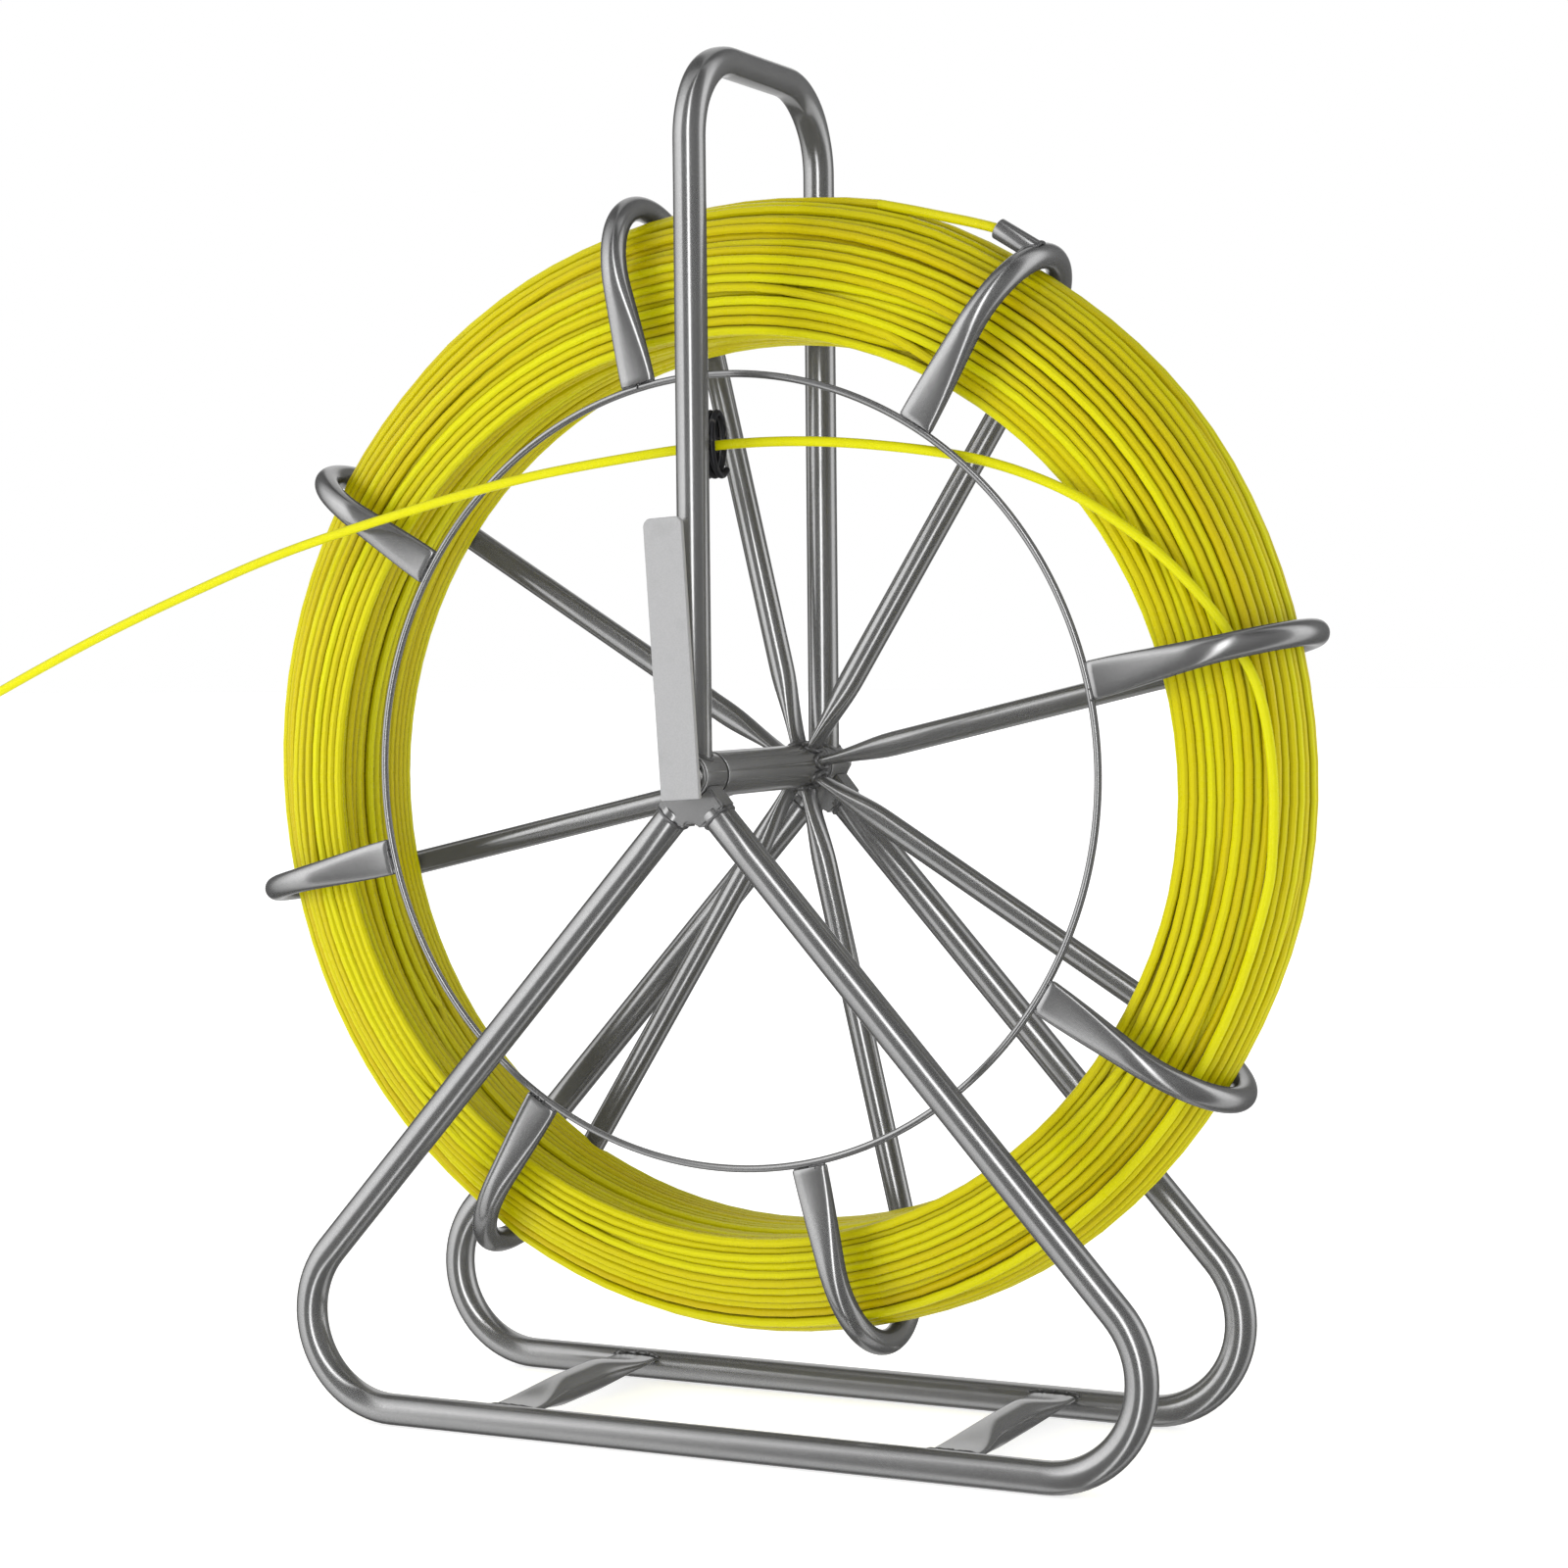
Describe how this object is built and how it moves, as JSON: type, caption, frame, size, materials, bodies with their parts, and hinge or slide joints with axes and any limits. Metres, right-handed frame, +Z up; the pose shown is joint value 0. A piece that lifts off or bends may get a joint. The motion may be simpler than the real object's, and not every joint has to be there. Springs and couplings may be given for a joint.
{
  "type": "fish tape reel",
  "caption": "Fibreglass duct rod wound in a spoked wire cage reel, turning on an axle in a free-standing bent-tube stand with a carry handle, rod guide and brake lever.",
  "frame": {"origin": "on the floor under the middle of the axle", "axes": "+Z up; X along the base bars; Y along the axle, with the brake lever's side at -Y"},
  "size_m": [0.9746, 0.225, 0.8401],
  "materials": {
    "grey_paint": "glossy dark grey metallic paint on steel tube",
    "lever_grey": "satin light grey paint on flat bar",
    "dark_wire": "dark lacquered spring wire",
    "zinc_steel": "zinc plated steel",
    "bush_plastic": "black plain bearing plastic",
    "rod_yellow": "glossy yellow jacket over a fibreglass core",
    "brass": "turned brass"
  },
  "bodies": {
    "stand": {"front_side_frame": "grey_paint", "rear_side_frame": "grey_paint", "handle_tube": "grey_paint", "front_axle_boss": "grey_paint", "rear_axle_boss": "grey_paint", "front_gusset": "grey_paint", "rear_gusset": "grey_paint", "left_cross_tube": "grey_paint", "right_cross_tube": "grey_paint", "rod_guide": "dark_wire", "front_washer": "zinc_steel", "rear_washer": "zinc_steel", "axle_nut": "zinc_steel", "rod_free_run": "rod_yellow", "rod_end_ferrule": "brass", "pulling_eye": "brass"},
    "lever": {"brake_lever": "lever_grey", "axle_bolt": "zinc_steel"},
    "reel": {"hub_tube": "grey_paint", "front_bush": "bush_plastic", "rear_bush": "bush_plastic", "spoke_1": "grey_paint", "spoke_2": "grey_paint", "spoke_3": "grey_paint", "spoke_4": "grey_paint", "spoke_5": "grey_paint", "spoke_6": "grey_paint", "spoke_7": "grey_paint", "spoke_8": "grey_paint", "front_ring": "grey_paint", "rod_end_holder": "grey_paint", "rod_tail": "rod_yellow", "rod_coil": "rod_yellow"}
  },
  "joints": [
    {"name": "brake_turn", "type": "hinge", "parent": "stand", "child": "lever", "pos_m": [0, 0, 0.406], "axis": [0, 1, 0], "range_deg": [-90, 90]},
    {"name": "reel_spin", "type": "hinge", "parent": "stand", "child": "reel", "pos_m": [0, 0, 0.406], "axis": [0, 1, 0], "continuous": true}
  ]
}
